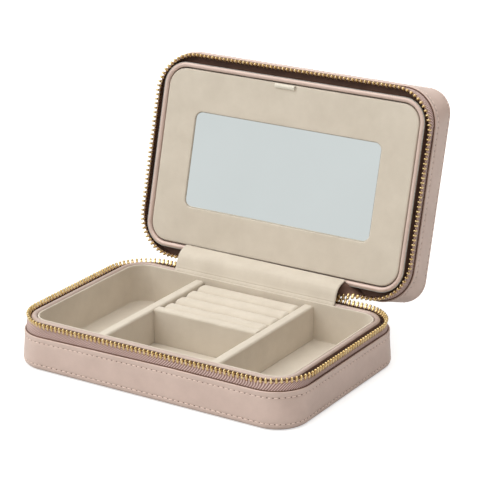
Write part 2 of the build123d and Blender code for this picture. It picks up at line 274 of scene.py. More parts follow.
def floor_material(name):
    """Matt sweep with a trace of paper tooth, lit from behind so that the camera sees it white."""
    material = noisy_material(name, (400.0, 3.0), [(0.0, (0.59, 0.59, 0.585)), (1.0, (0.62, 0.62, 0.615))],
                              (0.9, 1.0), Specular_IOR_Level=0.1, Emission_Color=(1.0, 1.0, 1.0, 1.0))
    tree = material.node_tree
    seen = tree.nodes.new("ShaderNodeLightPath").outputs["Is Camera Ray"]
    tree.links.new(spread(tree, seen, 0.0, 0.6), tree.nodes["Principled BSDF"].inputs["Emission Strength"])
    return material


TAPE_RIB = 1.7 * MM
TAPE_SLANT = 1.15
TAPE_THREAD = 0.33 * MM
ROSE = leather_material("rose_leather", (0.60, 0.455, 0.395), (0.665, 0.51, 0.445))
# Painted shade: a darker copy of the rose leather for the base's rim, which the top light would show too bright.
RIM_SHADED_LEATHER = leather_material("rim_leather", (0.43, 0.325, 0.28), (0.48, 0.365, 0.315))
THREAD = leather_material("thread", (0.74, 0.585, 0.51), (0.84, 0.68, 0.60), (0.5, 0.65), 0.0)
# Painted shade: a near-black leather standing in for the shadow in the slot, behind the lip, on the tape's inner
# face and in the needle holes.
PAINTED_SHADE = leather_material("painted_shade_leather", (0.105, 0.050, 0.032), (0.145, 0.072, 0.048), (0.6, 0.8), 0.0)
SUEDE = suede_material("suede", (0.555, 0.488, 0.402), (0.645, 0.575, 0.482))
TAPE = tape_material("zipper_tape", (0.22, 0.12, 0.10), (0.47, 0.305, 0.27), (0.76, 0.575, 0.525))
BRASS = brass_material("zipper_brass")
MIRROR = noisy_material("mirror", (25.0, 2.0), [(0.2, (0.90, 0.93, 0.93)), (0.8, (0.93, 0.96, 0.96))],
                        (0.015, 0.035), Metallic=1.0)
RIBBON = ribbon_material("ribbon")
BOARD = noisy_material("greyboard", (900.0, 6.0, 0.7),
                       [(0.35, (0.30, 0.28, 0.26)), (0.65, (0.47, 0.45, 0.42))], (0.8, 0.95), 0.0001)
STEEL = noisy_material("magnet_steel", (1500.0, 3.0), [(0.3, (0.60, 0.60, 0.61)), (0.7, (0.72, 0.72, 0.73))],
                       (0.2, 0.35), Metallic=1.0)

# The material of each slot. The other leathers, the painted-shade ones among them, share the rose leather's slot.
SLOT_MATERIALS = {"rose_leather": ROSE, "suede": SUEDE, "greyboard": BOARD, "zipper_tape": TAPE,
                  "zipper_brass": BRASS, "mirror": MIRROR, "magnet_steel": STEEL, "ribbon": RIBBON}
SLOTS = {material.name: slot for slot, material in SLOT_MATERIALS.items()}
SLOTS.update({material.name: "rose_leather" for material in (RIM_SHADED_LEATHER, THREAD, PAINTED_SHADE)})


# ---------------------------------------------------------------- mesh building


def in_scene(name, data):
    """A new object of some data, linked into the scene."""
    obj = bpy.data.objects.new(name, data)
    bpy.context.scene.collection.objects.link(obj)
    return obj


def make_piece(name, shape, material, body, *cad_nodes, uvs=None):
    """A smooth mesh from points in millimetres in its body's frame, and faces. It rides on the body
    and takes the CAD nodes' place. A body of None leaves it in the base's frame, still to be tied."""
    verts, faces = shape
    matrix = np.array(TO_LID if body in ("lid", "mirror_door") else TO_BASE)
    placed = (np.asarray(verts, float) @ matrix[:3, :3].T + matrix[:3, 3]) * MM
    mesh = bpy.data.meshes.new(name)
    mesh.from_pydata(placed.tolist(), [], faces)
    if uvs is not None:
        layer = mesh.uv_layers.new(name="UVMap")
        corner = np.zeros(len(mesh.loops), int)
        mesh.loops.foreach_get("vertex_index", corner)
        layer.data.foreach_set("uv", (np.asarray(uvs, float)[corner] * MM).ravel())
    mesh.polygons.foreach_set("use_smooth", [True] * len(mesh.polygons))
    mesh.materials.append(material)
    mesh.validate()
    obj = in_scene(name, mesh)
    if cad_nodes:
        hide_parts(*cad_nodes)
    if body is not None:
        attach(obj, body)
    return obj


def paint_shade_faces(obj, columns, first, last):
    """Gives a swept piece the painted-shade leather on the faces between two points of its profile."""
    obj.data.materials.append(PAINTED_SHADE)
    obj.data.polygons.foreach_set("material_index",
                                  [int(first <= i % columns < last) for i in range(len(obj.data.polygons))])


def arc(centre, across, up, start, end, step):
    """Points on an arc or ellipse in a profile, at angles in degrees from one to the other."""
    return [(centre[0] + across * math.cos(a), centre[1] + up * math.sin(a))
            for a in np.radians(range(start, end + 1, step))]


def grid_faces(rows, columns, wrap_rows=False, wrap_columns=False, flip=False):
    """Quads over a grid of rows x columns points, in row order."""
    faces = []
    for i in range(rows if wrap_rows else rows - 1):
        a = i * columns
        b = ((i + 1) % rows) * columns
        for j in range(columns if wrap_columns else columns - 1):
            k = (j + 1) % columns
            quad = (a + j, b + j, b + k, a + k)
            faces.append(quad[::-1] if flip else quad)
    return faces


def plan_runs(plan):
    """Lengths of a plan's sides and corners, from the middle of the +y side towards -x."""
    run_x = plan[0] - plan[2]
    run_y = 2 * (plan[1] - plan[2])
    corner = math.pi * plan[2] / 2
    return run_x, corner, run_y, corner, 2 * run_x, corner, run_y, corner, run_x


def plan_length(plan):
    return sum(plan_runs(plan))


def plan_place(plan, run, share):
    """The place and outward direction at a share of one run of a plan."""
    half_x, half_y, radius, middle = (*plan, 0.0)[:4]
    run_x = half_x - radius
    run_y = half_y - radius
    side = run // 2
    turn = math.pi / 2 * (1 + side)
    if run % 2:
        turn += share * math.pi / 2
        x, y = ((-run_x, run_y), (-run_x, -run_y), (run_x, -run_y), (run_x, run_y))[side]
        x += radius * math.cos(turn)
        y += radius * math.sin(turn)
    else:
        s = share * plan_runs(plan)[run]
        x, y = ((0, half_y), (-half_x, run_y), (-run_x, -half_y), (half_x, -run_y), (run_x, half_y))[side]
        x -= s * math.sin(turn)
        y += s * math.cos(turn)
    return middle + x, y, math.cos(turn), math.sin(turn)


def plan_split(plan, s):
    """The run that a distance round a plan falls in, and the share of that run."""
    s = s % plan_length(plan)
    for run, length in enumerate(plan_runs(plan)):
        if s <= length:
            return run, s / length
        s -= length
    return 8, 1.0


def plan_point(plan, s):
    """The place and outward direction at distance s from the middle of the +y side, towards -x."""
    return plan_place(plan, *plan_split(plan, s))


def grown(plan, by):
    """A plan with its sides moved outward."""
    return tuple(v + by for v in plan[:3]) + tuple(plan[3:])


def mixed_plan(first, second, share):
    """A plan between two others."""
    first = (*first, 0.0)[:4]
    second = (*second, 0.0)[:4]
    return tuple(a + (b - a) * share for a, b in zip(first, second))


def smoothstep(t):
    t = np.clip(t, 0.0, 1.0)
    return t * t * (3 - 2 * t)


def rounded(points, radii, segments):
    """A closed profile through points with its corners rounded; radii has one value for each point."""
    made = []
    for i, (point, radius) in enumerate(zip(points, radii)):
        at = Vector(point)
        before = (Vector(points[i - 1]) - at).normalized()
        after = (Vector(points[(i + 1) % len(points)]) - at).normalized()
        half = before.angle(after) / 2
        reach = radius / math.tan(half)
        centre = at + (before + after).normalized() * (radius / math.sin(half))
        start = at + before * reach - centre
        end = at + after * reach - centre
        swing = start.angle(end)
        for k in range(segments + 1):
            t = k / segments
            ease = (math.sin((1 - t) * swing) * start + math.sin(t * swing) * end) / math.sin(swing)
            made.append(tuple(centre + ease))
    return made


def dense(profile, spacing):
    """A closed profile with its long straight runs divided."""
    made = []
    for i, point in enumerate(profile):
        a = Vector(point)
        b = Vector(profile[(i + 1) % len(profile)])
        pieces = max(1, math.ceil((b - a).length / spacing))
        made += [tuple(a.lerp(b, k / pieces)) for k in range(pieces)]
    return made


def sweep(plan, profile, step, close=True, first=0.0, last=None, shift=None, plans=None):
    """Points and quads of a profile of (inset, z) carried round a plan, or from first to last with
    flat ends. plans gives each profile point a plan of its own; shift(s, inset, z) gives how far
    each point moves outward."""
    whole = last is None
    last = plan_length(plan) if whole else last
    count = max(2, round((last - first) / step))
    s = first + (last - first) * np.arange(count if whole else count + 1) / count
    splits = [plan_split(plan, value) for value in s]
    rows = len(s)
    columns = len(profile)
    places = {}
    place = np.empty((rows, columns, 4))
    for j, own in enumerate(plans or [plan] * columns):
        if own not in places:
            places[own] = np.array([plan_place(own, *split) for split in splits])
        place[:, j] = places[own]
    inset = np.array([p[0] for p in profile])
    z = np.array([p[1] for p in profile])
    moved = np.zeros((rows, columns))
    if shift is not None:
        moved = shift(np.repeat(s[:, None], columns, 1), np.repeat(inset[None], rows, 0),
                      np.repeat(z[None], rows, 0))
    out = moved - inset[None]
    verts = np.empty((rows, columns, 3))
    verts[..., :2] = place[..., :2] + place[..., 2:] * out[..., None]
    verts[..., 2] = z[None]
    run = np.concatenate([[0], np.cumsum(np.hypot(np.diff(inset), np.diff(z)))])
    uvs = np.stack([np.repeat(s[:, None], columns, 1), np.repeat(run[None], rows, 0)], -1)
    faces = grid_faces(rows, columns, whole, close)
    if not whole:
        faces.append(tuple(range(columns))[::-1])
        faces.append(tuple(range((rows - 1) * columns, rows * columns)))
    return verts.reshape(-1, 3), faces, uvs.reshape(-1, 2)


def ring_solid(rings):
    """A solid over rings of the same number of points, with flat ends."""
    count = len(rings[0])
    total = count * len(rings)
    faces = grid_faces(len(rings), count, False, True, flip=True)
    faces += [tuple(range(count))[::-1], tuple(range(total - count, total))]
    return np.concatenate(rings), faces


def join(parts):
    """Several (points, faces) sets as one."""
    verts = []
    faces = []
    start = 0
    for part in parts:
        verts.append(np.asarray(part[0], float))
        faces += [tuple(i + start for i in face) for face in part[1]]
        start += len(part[0])
    return np.concatenate(verts), faces


def swung(closed, angle):
    """Points of the closed case turned about the hinge, each by its own angle, towards open."""
    dy = closed[:, 1] - HINGE.y
    dz = closed[:, 2] - HINGE.z
    y = HINGE.y + dy * np.cos(angle) + dz * np.sin(angle)
    z = HINGE.z - dy * np.sin(angle) + dz * np.cos(angle)
    return np.column_stack([closed[:, 0], y, z])


def soft_noise(points, scale, seed):
    """Smooth noise from -1 to 1 at points, with features of the given size in millimetres."""
    offset = Vector((seed * 17.3, seed * 5.1, seed * 9.7))
    return np.array([noise.noise(Vector(p) / scale + offset) for p in points])


# ---------------------------------------------------------------- the case's two halves

STITCH_PITCH = 3.4
STITCH_LONG = 2.5
STITCH_R = 0.28
HOLE_R = 0.42
EDGE_STITCH_Z = 3.9
BAND_STITCH_DROP = 3.5
LIP_R = 0.45
LIP_DIP = 1.9
DIP_START_X = 20.0
DIP_START_Z = 5.0
DIP_LONG = 110.0


def stitch_shift(rows):
    """Leather pulled in along each stitched row, and down to a hole between stitches."""
    count = round(plan_length(CASE) / STITCH_PITCH)
    pitch = plan_length(CASE) / count

    def shift(s, inset, z):
        moved = 0.05 * np.sin(s / 23.0) * np.sin(s / 9.1 + z / 7.0) * np.clip(z / 4.0, 0, 1)
        away = ((s / pitch) % 1 - 0.5) * pitch
        for row_z in rows:
            moved = moved - 0.14 * np.exp(-((z - row_z) / 0.8) ** 2)
            moved = moved - 0.38 * np.exp(-(away / 0.6) ** 2 - ((z - row_z) / 0.5) ** 2)
        return np.where(inset < 1.0, moved, 0.0)

    return shift, pitch, count


def band_plan(z, band_z, face_r):
    """The band's plan at a height: its corners have face_r at the outer face and CASE's at the lip."""
    share = float(smoothstep((z - 2.0) / (band_z - 5.0)))
    return (CASE[0], CASE[1], face_r + (CASE[2] - face_r) * share)


def band_heights(band_z, rows):
    """Heights of the side wall's rings: close together at the stitches, further apart between."""
    marks = {EDGE_R + 0.2, band_z - 0.9}
    for row_z in rows:
        marks |= {row_z + k * 0.2 for k in range(-5, 6)}
    marks |= {EDGE_R + 1.0 + k * 1.8 for k in range(int((band_z - EDGE_R - 2.0) / 1.8) + 1)}
    heights = [z for z in sorted(marks) if EDGE_R < z < band_z - 0.8]
    kept = heights[:1]
    for z in heights[1:]:
        if z - kept[-1] > 0.12:
            kept.append(z)
    return kept


def settled(verts, band_z, dip):
    """Points let down towards the left end of the case, most at the lip."""
    left = np.clip((DIP_START_X - verts[:, 0]) / DIP_LONG, 0, 1)
    high = np.clip((verts[:, 2] - DIP_START_Z) / (band_z - DIP_START_Z), 0, 1)
    return verts - np.column_stack([0 * left, 0 * left, dip * left * high])


def leather_band(body, band_z, face_r, dip):
    """The side band with its rolled edge, two stitched rows and turned-in lip, with a raised strip
    between the lip and the zipper tape painted dark as painted shade."""
    rows = (EDGE_STITCH_Z, band_z - BAND_STITCH_DROP)
    shift, pitch, count = stitch_shift(rows)
    profile = [(END_PANEL_INSET, 0.9), (END_PANEL_INSET, 0.45), (END_PANEL_INSET - 0.14, 0.13),
               (END_PANEL_INSET - 0.5, 0.0), (9.0, 0.0), (6.5, 0.0)]
    profile += [(EDGE_R - EDGE_R * math.sin(a), EDGE_R - EDGE_R * math.cos(a))
                for a in np.radians(range(0, 91, 10))]
    profile += [(0.0, z) for z in band_heights(band_z, rows)]
    profile += arc((LIP_R, band_z - LIP_R), -LIP_R, LIP_R, 0, 160, 20)
    shade_first = len(profile) - 1
    # The strip behind the lip is painted shade: dark leather for the shadow between the lip and the tape.
    profile += [(1.0, band_z - 0.2), (1.2, band_z + 0.35), (1.32, band_z + 0.4), (1.36, band_z - 1.0)]
    shaded = len(profile) - 1
    profile += [(LEATHER, band_z - 2.2), (LEATHER, 8.0), (LEATHER, 4.0), (2.4, 1.7), (4.0, LEATHER),
                (END_PANEL_INSET, LEATHER)]
    plans = [band_plan(z, band_z, face_r) for _, z in profile]
    verts, faces, _ = sweep(CASE, profile, pitch / 6, shift=shift, plans=plans)
    name = f"{body}_band_leather"
    band = make_piece(name, (settled(verts, band_z, dip), faces), ROSE, body, f"{body}_leather_band")
    paint_shade_faces(band, len(profile), shade_first, shaded)
    for k, row_z in enumerate(rows):
        stitches(f"{name}_stitches_{k + 1}", band_plan(row_z, band_z, face_r), row_z, pitch, count,
                 lambda verts: settled(verts, band_z, dip), body)


def stitch_shape():
    """One stitch lying along +x on the plane z = 0, its ends diving into the leather."""
    rings = 7
    sides = 6
    verts = []
    for i in range(rings):
        t = 2 * i / (rings - 1) - 1
        radius = STITCH_R * math.sqrt(max(0.12, 1 - abs(t) ** 3.2))
        rise = -0.02 - 0.42 * abs(t) ** 4
        for k in range(sides):
            turn = 2 * math.pi * k / sides
            verts.append((t * STITCH_LONG / 2, radius * math.cos(turn), rise + 0.8 * radius * math.sin(turn)))
    faces = grid_faces(rings, sides, False, True, flip=True)
    faces += [tuple(range(sides)), tuple(range((rings - 1) * sides, rings * sides))[::-1]]
    return np.array(verts), faces


def hole_shade_shape():
    """A needle hole's painted shade: a dark shallow dome on the plane z = 0, for the shadow in the hole."""
    sides = 10
    turns = np.linspace(0, 2 * math.pi, sides, endpoint=False)
    rings = [np.column_stack([r * np.cos(turns), 0.8 * r * np.sin(turns), np.full(sides, z)])
             for r, z in ((HOLE_R, -0.3), (HOLE_R, 0.0), (HOLE_R * 0.6, 0.06), (HOLE_R * 0.2, 0.08))]
    return ring_solid(rings)


def stitches(name, plan, z, pitch, count, settle, body):
    """A row of stitches round a plan at one height, with a needle hole of painted shade between each two."""
    for kind, (shape, faces), material, start, sunk in (("", stitch_shape(), THREAD, 0.0, 0.06),
                                                        ("_hole_shade", hole_shade_shape(), PAINTED_SHADE, 0.5, 0.40)):
        parts = []
        for i in range(count):
            x, y, out_x, out_y = plan_place(plan, *plan_split(CASE, (i + start) * pitch))
            outward = np.array([out_x, out_y, 0.0])
            turned = np.stack([np.array([-out_y, out_x, 0.0]), np.array([0.0, 0.0, 1.0]), outward])
            parts.append((shape @ turned + np.array([x, y, z]) - sunk * outward, faces))
        verts, joined = join(parts)
        make_piece(name + kind, (settle(verts), joined), material, body)


def end_panel(name, face_r, body, cad_node):
    """The flat leather panel in the middle of the outer face, with a soft edge."""
    plan = grown((CASE[0], CASE[1], face_r), -END_PANEL_INSET - 0.05)
    profile = [(0.0, 1.2), (0.0, 0.5), (0.15, 0.15), (0.5, 0.0), (1.2, 0.0), (2.0, 0.0), (3.5, 0.0)]
    verts, faces, _ = sweep(plan, profile, 1.5, close=False)
    rows = len(verts) // len(profile)
    columns = len(profile)
    faces = [face[::-1] for face in faces]
    faces.append(tuple(r * columns + columns - 1 for r in range(rows))[::-1])
    faces.append(tuple(r * columns for r in range(rows)))
    make_piece(name, (verts, faces), ROSE, body, cad_node)


def inner_rim(body, plan, wide, rim_z, material):
    """The leather folded over the collar, with a round crown."""
    half = wide / 2
    crown = arc((half, rim_z - half), -half, half, 0, 180, 10)
    outer = [(0.0, rim_z - 6.0), (0.0, rim_z - 4.0), (0.0, rim_z - 2.6)]
    inner = [(2 * half, rim_z - 4.0), (2 * half, rim_z - 11.0), (2 * half - 0.5, rim_z - 11.0),
             (2 * half - 0.6, rim_z - 3.0), (half, rim_z - 0.9), (0.6, rim_z - 3.0), (0.6, rim_z - 6.0)]

    def shift(s, inset, z):
        return 0.05 * np.sin(s / 7.3 + 1.0) * np.sin(s / 19.0) * (z > rim_z - 5.0)

    verts, faces, _ = sweep(plan, outer + crown + inner, 1.2, shift=shift)
    make_piece(f"{body}_rim_leather", (verts, faces), material, body, f"{body}_inner_rim")


def painted_slot_shade(body, plan, rim_z, first, last):
    """A dark sheet of painted shade in the slot between the rim and the zipper tape, from the tape down
    and across to the rim."""
    along_tape = [(0.55, -2.2), (0.7, -3.6), (0.9, -4.6), (1.3, -5.1)]
    along_rim = [(-0.9, -5.2), (-0.3, -4.9), (-0.12, -4.2), (-0.12, -1.6), (0.0, -1.0)]
    under_rim = [(0.6, -2.0), (0.6, -5.6)]
    under_tape = [(0.5, -5.6), (0.42, -2.2)]
    profile = along_tape + along_rim + under_rim + under_tape
    plans = [CHAIN] * len(along_tape) + [plan] * len(along_rim + under_rim) + [CHAIN] * len(under_tape)
    verts, faces, _ = sweep(CASE, [(inset, rim_z + z) for inset, z in profile], 1.5, first=first, last=last,
                            plans=plans)
    make_piece(f"{body}_painted_slot_shade", (verts, faces), PAINTED_SHADE, body)


# ---------------------------------------------------------------- zipper

TOOTH_PITCH = 2.8
TAPE_FOOT = grown(CASE, -1.75)
TAPE_FOOT_Z = 11.0
CHAIN = (94.1, 62.4, 25.0)
CHAIN_END = 42.0
CORNER_X = CASE[0] - CASE[2]
TAPE_EDGE_DROP = 1.2
TAPE_LEAN_DROP = 5.0
TAPE_HALF = 0.35
TOOTH_REACH = 1.1
TOOTH_WIDE = 1.2
BASE_LEAN = math.radians(24.0)
LID_LEAN = math.radians(15.0)
UPRIGHT_X = 47.0
LEAN_GROWS = 9.0
HALF_GAP = (CLOSED_HEIGHT - BASE_RIM_Z - LID_RIM_Z) / 2
SLIDER_CLEAR = 3.0


def tape_profile(edge_z, foot_z):
    """Section of the tape, the plan of each point, and the point from which its inner face is
    painted dark as painted shade. The tape leaves the groove, leans out to the chain and ends in a corded bead."""
    heights = [foot_z] + [edge_z - TAPE_LEAN_DROP + k * 0.7 for k in range(7)]
    bead = arc((0.0, edge_z - 0.35), -0.55, 0.5, 10, 170, 20)
    profile = [(-TAPE_HALF, z) for z in heights] + bead + [(TAPE_HALF, z) for z in heights[::-1]]
    plans = [mixed_plan(TAPE_FOOT, CHAIN, min(1.0, max(0.0, (z - edge_z) / (TAPE_LEAN_DROP - 0.6) + 1) ** 2))
             for _, z in profile]
    return profile, plans, len(profile) - len(heights) - 2


def tape(name, rim_z, foot_z, step, first, last, body, *cad_nodes, place=np.asarray):
    """A length of tape, its inner face painted dark as painted shade; place may move its points."""
    profile, plans, shaded_from = tape_profile(rim_z - TAPE_EDGE_DROP, foot_z)
    verts, faces, uvs = sweep(CASE, profile, step, first=first, last=last, plans=plans)
    obj = make_piece(name, (place(verts), faces), TAPE, body, *cad_nodes, uvs=uvs)
    paint_shade_faces(obj, len(profile), shaded_from, len(profile))
    return obj


def tooth_shape(reach):
    """One tooth, standing along +z from the tape's edge at z = 0, its depth along +y.
    Two legs clamp the tape's bead, and a rounded head stands reach above the edge."""
    outer = [(0.60, -1.25, 0.44), (0.86, -1.08, 0.52), (0.98, -0.45, 0.56), (1.00, 0.30, 0.58),
             (0.92, 0.70, 0.52), (0.76, 0.95, 0.46), (0.74, reach - 1.1, 0.50), (0.80, reach - 0.65, 0.56),
             (0.68, reach - 0.22, 0.46), (0.36, reach, 0.28)]
    slot = [(-0.38, -1.20, 0.34), (-0.56, -0.70, 0.46), (-0.52, -0.05, 0.55), (0.0, 0.15, 0.56),
            (0.52, -0.05, 0.55), (0.56, -0.70, 0.46), (0.38, -1.20, 0.34)]
    section = outer + [(-y, z, w) for y, z, w in reversed(outer)] + slot
    count = len(section)
    flat = np.array([(y, z) for y, z, _ in section])
    half = np.array([w for _, _, w in section])
    pulled = flat + (np.array([(0.0, 0.9)]) - flat) * 0.14
    rings = []
    for side, points, share in ((-1, pulled, 1.0), (-1, flat, 0.66), (1, flat, 0.66), (1, pulled, 1.0)):
        rings.append(np.column_stack([side * half * share * TOOTH_WIDE, points]))
    faces = grid_faces(4, count, False, True, flip=True)
    faces += tooth_side(count, len(outer), 0, True)
    faces += tooth_side(count, len(outer), 3 * count, False)
    return np.concatenate(rings), faces


def tooth_side(count, outer_count, start, flip):
    """The flat side of a tooth: its two legs as quads and its head as one face."""
    slot = list(range(2 * outer_count, count))
    right = list(range(4))
    left = [2 * outer_count - 1 - i for i in range(4)]
    faces = []
    for k in range(3):
        faces.append((right[k], right[k + 1], slot[-2 - k], slot[-1 - k]))
        faces.append((left[k + 1], left[k], slot[k], slot[k + 1]))
    faces.append(tuple(range(3, 2 * outer_count - 3)) + (slot[3],))
    return [tuple(start + i for i in (face[::-1] if flip else face)) for face in faces]


def tooth_distances(first, last):
    return [first + i * TOOTH_PITCH for i in range(int((last - first) / TOOTH_PITCH) + 1)]


def teeth(distances, rim_z, most_lean, hinge_way):
    """Teeth at distances along the chain, standing up from the tape's edge and leaning outward,
    but not where the slider holds them upright, in the middle of the hinge side: hinge_way is +1
    or -1 along y."""
    edge_z = rim_z - TAPE_EDGE_DROP
    shape, faces = tooth_shape(rim_z + HALF_GAP + TOOTH_REACH - edge_z)
    parts = []
    for s in distances:
        x, y, out_x, out_y = plan_point(CHAIN, s)
        lean = most_lean
        if y * hinge_way > CHAIN[1] - 0.5:
            lean *= float(smoothstep((abs(x) - UPRIGHT_X) / LEAN_GROWS))
        cos, sin = math.cos(lean), math.sin(lean)
        tilt = np.array([[1, 0, 0], [0, cos, -sin], [0, sin, cos]])
        spin = np.array([[out_y, -out_x, 0], [out_x, out_y, 0], [0, 0, 1.0]])
        parts.append((shape * (1, 1, 1 / cos) @ tilt @ spin + np.array([x, y, edge_z]), faces))
    return join(parts)


def zipper_half(body, rim_z, distances, first, last, lean, hinge_way):
    """The tape and the chain of teeth of one half."""
    tape(f"{body}_tape", rim_z, TAPE_FOOT_Z, 1.2, first, last, body, f"{body}_zipper_tape")
    make_piece(f"{body}_chain", teeth(distances, rim_z, lean, hinge_way), BRASS, body, f"{body}_zipper_teeth")


MEET_START_X = 47.5
MEET_END_X = CHAIN[0] - CHAIN[2]
MEET_FOOT_Z = 17.0


def towards_base(verts):
    """Lid points at the back right, where the two rows run together to the slider: the share of the
    lid's swing that each takes falls smoothly to nothing along x."""
    closed = np.asarray(verts, float) * (1, -1, -1) + (0, 0, CLOSED_HEIGHT)
    angle = smoothstep((closed[:, 0] - MEET_START_X) / (MEET_END_X - MEET_START_X)) * LID_OPEN
    return swung(closed, angle)


def meeting_rows(distances, around):
    """The lid's tape and teeth at the back right, which bend between the base and the lid."""
    end = around / 2
    cloth = tape("meeting_tape", LID_RIM_Z, MEET_FOOT_Z, 1.0, CHAIN_END - end, CORNER_X - end, None,
                 place=towards_base)
    verts, faces = teeth(distances, LID_RIM_Z, LID_LEAN, -1)
    row = make_piece("meeting_chain", (towards_base(verts), faces), BRASS, None)
    for piece in (cloth, row):
        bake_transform(piece)


def make_zipper():
    """Both halves of the zipper. The lid's row runs together with the base's at the back right."""
    around = plan_length(CASE)
    chain = plan_length(CHAIN)
    base_row = tooth_distances(CHAIN_END, chain - CHAIN_END)
    zipper_half("base", BASE_RIM_Z, base_row, SPINE_HALF, around - SPINE_HALF, BASE_LEAN, 1)
    lid_row = [chain / 2 - s for s in tooth_distances(CHAIN_END + TOOTH_PITCH / 2, chain - CHAIN_END)]
    fixed = [s for s in lid_row if s > MEET_END_X - chain / 2]
    meeting = [s for s in lid_row if s <= MEET_END_X - chain / 2]
    zipper_half("lid", LID_RIM_Z, fixed, CORNER_X - around / 2, around / 2 - SPINE_HALF, LID_LEAN, -1)
    meeting_rows(meeting, around)
    # The slots between rim and tape get dark sheets of painted shade.
    painted_slot_shade("base", BASE_RIM, BASE_RIM_Z, SPINE_HALF, around - SPINE_HALF)
    painted_slot_shade("lid", LID_RIM, LID_RIM_Z, FLAP_X1 + SLIDER_CLEAR - around / 2, around / 2 - SPINE_HALF)


# ---------------------------------------------------------------- tray, dividers and rolls


def lined_well(name, plan, profile, body, cad_node):
    """A suede-covered well: a lip and wall carried round a plan, closed by a flat floor."""
    def shift(s, inset, z):
        return 0.07 * np.sin(s / 11.0 + z / 5.0) * np.sin(s / 29.0 + 1.3)

    verts, faces, _ = sweep(plan, profile, 1.3, close=False, shift=shift)
    columns = len(profile)
    rows = len(verts) // columns
    faces.append(tuple(r * columns + columns - 1 for r in range(rows)))
    make_piece(name, (verts, faces), SUEDE, body, cad_node)


def well_foot(inset):
    """The rounded turn from a well's wall to its floor."""
    radius = 0.5
    turn = arc((inset + radius, FLOOR_Z + radius), -radius, -radius, 0, 90, 15)
    return [(inset, FLOOR_Z + radius + 0.3)] + turn + [(inset + radius + 0.3, FLOOR_Z)]


BULGE = 0.1


def padded_bar(low, high, top_r, end_r, along, seed):
    """A stuffed bar between two corners: rounded along its top, softly rounded at its ends,
    a little fuller in the middle, its cover slightly uneven."""
    low = np.array(low, float)
    high = np.array(high, float)
    if along == "y":
        low, high = low[[1, 0, 2]], high[[1, 0, 2]]
    half = (high[1] - low[1]) / 2
    mid = (high[1] + low[1]) / 2
    corners = [(-half, low[2]), (half, low[2]), (half, high[2]), (-half, high[2])]
    flat = np.array(dense(rounded(corners, [0.4, 0.4, top_r, top_r], 7), 1.3))
    height = (flat[:, 1] - low[2]) / (high[2] - low[2])
    flat[:, 0] *= 1 + BULGE / half * np.sin(np.pi * np.clip(height, 0, 1))
    centre = np.array([0, (low[2] + high[2]) / 2])
    reach = np.linalg.norm(flat - centre, axis=1)[:, None]
    length = high[0] - low[0]
    count = max(3, int(length / 1.4))
    turned_end = [(end_r * (1 - math.cos(a)), end_r * (1 - math.sin(a)))
                  for a in np.radians(range(0, 90, 15))]
    places = turned_end + [(end_r + (length - 2 * end_r) * k / count, 0.0) for k in range(count + 1)]
    places += [(length - x, off) for x, off in turned_end[::-1]]
    rings = []
    for x, off in places:
        ring = centre + (flat - centre) * (1 - off / reach)
        rings.append(np.column_stack([np.full(len(ring), low[0] + x), mid + ring[:, 0], ring[:, 1]]))
    verts, faces = ring_solid(rings)
    wander = soft_noise(verts, 9.0, seed) * 0.14 + soft_noise(verts, 3.0, seed + 5) * 0.04
    verts[:, 2] += wander * (verts[:, 2] > high[2] - 2 * top_r)
    verts[:, 1] += wander * 0.7
    if along == "y":
        return verts[:, [1, 0, 2]], [face[::-1] for face in faces]
    return verts, faces


def padded_piece(name, low, high, top_r, end_r, along, seed, body):
    """A stuffed suede bar in the place of the CAD node of that name."""
    bar = padded_bar(low, high, top_r, end_r, along, seed)
    make_piece(f"{name}_pad", bar, SUEDE, body, name)


DIVIDER_T = 6.4
DIVIDER_TOP_Z = 25.5
LEFT_DIVIDER_X = -39.8
RIGHT_DIVIDER_X = 37.3
CROSS_DIVIDER_Y = 2.4
WALL_Y = 53.3
ROLL_COUNT = 4
ROLL_BOTTOM_Z = 9.0
ROLL_TOP_Z = 25.0
ROLL_GAP = 0.3
ROLL_TOP_R = 4.4
ROLL_END_GAP = 1.1


def make_tray():
    """The tray's lining, its three dividers and the ring rolls on their bed."""
    lip = LINER_T / 2
    over = arc((lip, LINER_TOP_Z - lip), -lip, lip, 0, 180, 20)
    wall = [(LINER_T, z) for z in (25.0, 21.0, 17.0, 13.0, 9.0, 6.5)]
    profile = [(0.0, 18.0)] + over + wall + well_foot(LINER_T) + [(4.0, FLOOR_Z)]
    lined_well("tray_lining", BASE_LINER, profile, "base", "tray_liner")
    half = DIVIDER_T / 2
    x0 = LEFT_DIVIDER_X + half
    x1 = RIGHT_DIVIDER_X - half
    bars = [(name, (x - half, -WALL_Y, FLOOR_Z), (x + half, WALL_Y, DIVIDER_TOP_Z), 1.4, 0.4, "y")
            for name, x in (("left_divider", LEFT_DIVIDER_X), ("right_divider", RIGHT_DIVIDER_X))]
    bars += [("cross_divider", (x0 + 0.1, CROSS_DIVIDER_Y - half, FLOOR_Z),
              (x1 - 0.1, CROSS_DIVIDER_Y + half, DIVIDER_TOP_Z), 1.4, 0.3, "x"),
             ("ring_roll_bed", (x0 + 0.2, CROSS_DIVIDER_Y + half + 0.1, FLOOR_Z),
              (x1 - 0.2, WALL_Y, ROLL_BOTTOM_Z + 0.3), 0.8, 0.6, "x")]
    pitch = (WALL_Y - CROSS_DIVIDER_Y - half) / ROLL_COUNT
    reach = (pitch - ROLL_GAP) / 2
    for i in range(ROLL_COUNT):
        y = WALL_Y - pitch * (i + 0.5)
        bars.append((f"ring_roll_{i + 1}", (x0 + ROLL_END_GAP, y - reach, ROLL_BOTTOM_Z),
                     (x1 - ROLL_END_GAP, y + reach, ROLL_TOP_Z), ROLL_TOP_R, 2.2, "x"))
    for seed, bar in enumerate(bars, 1):
        padded_piece(*bar, seed, "base")


# ---------------------------------------------------------------- thin sheets and tubes


def grid_of(x, y, z):
    """A grid of points from three arrays that fill each other out."""
    return np.stack(np.broadcast_arrays(x, y, z), -1)


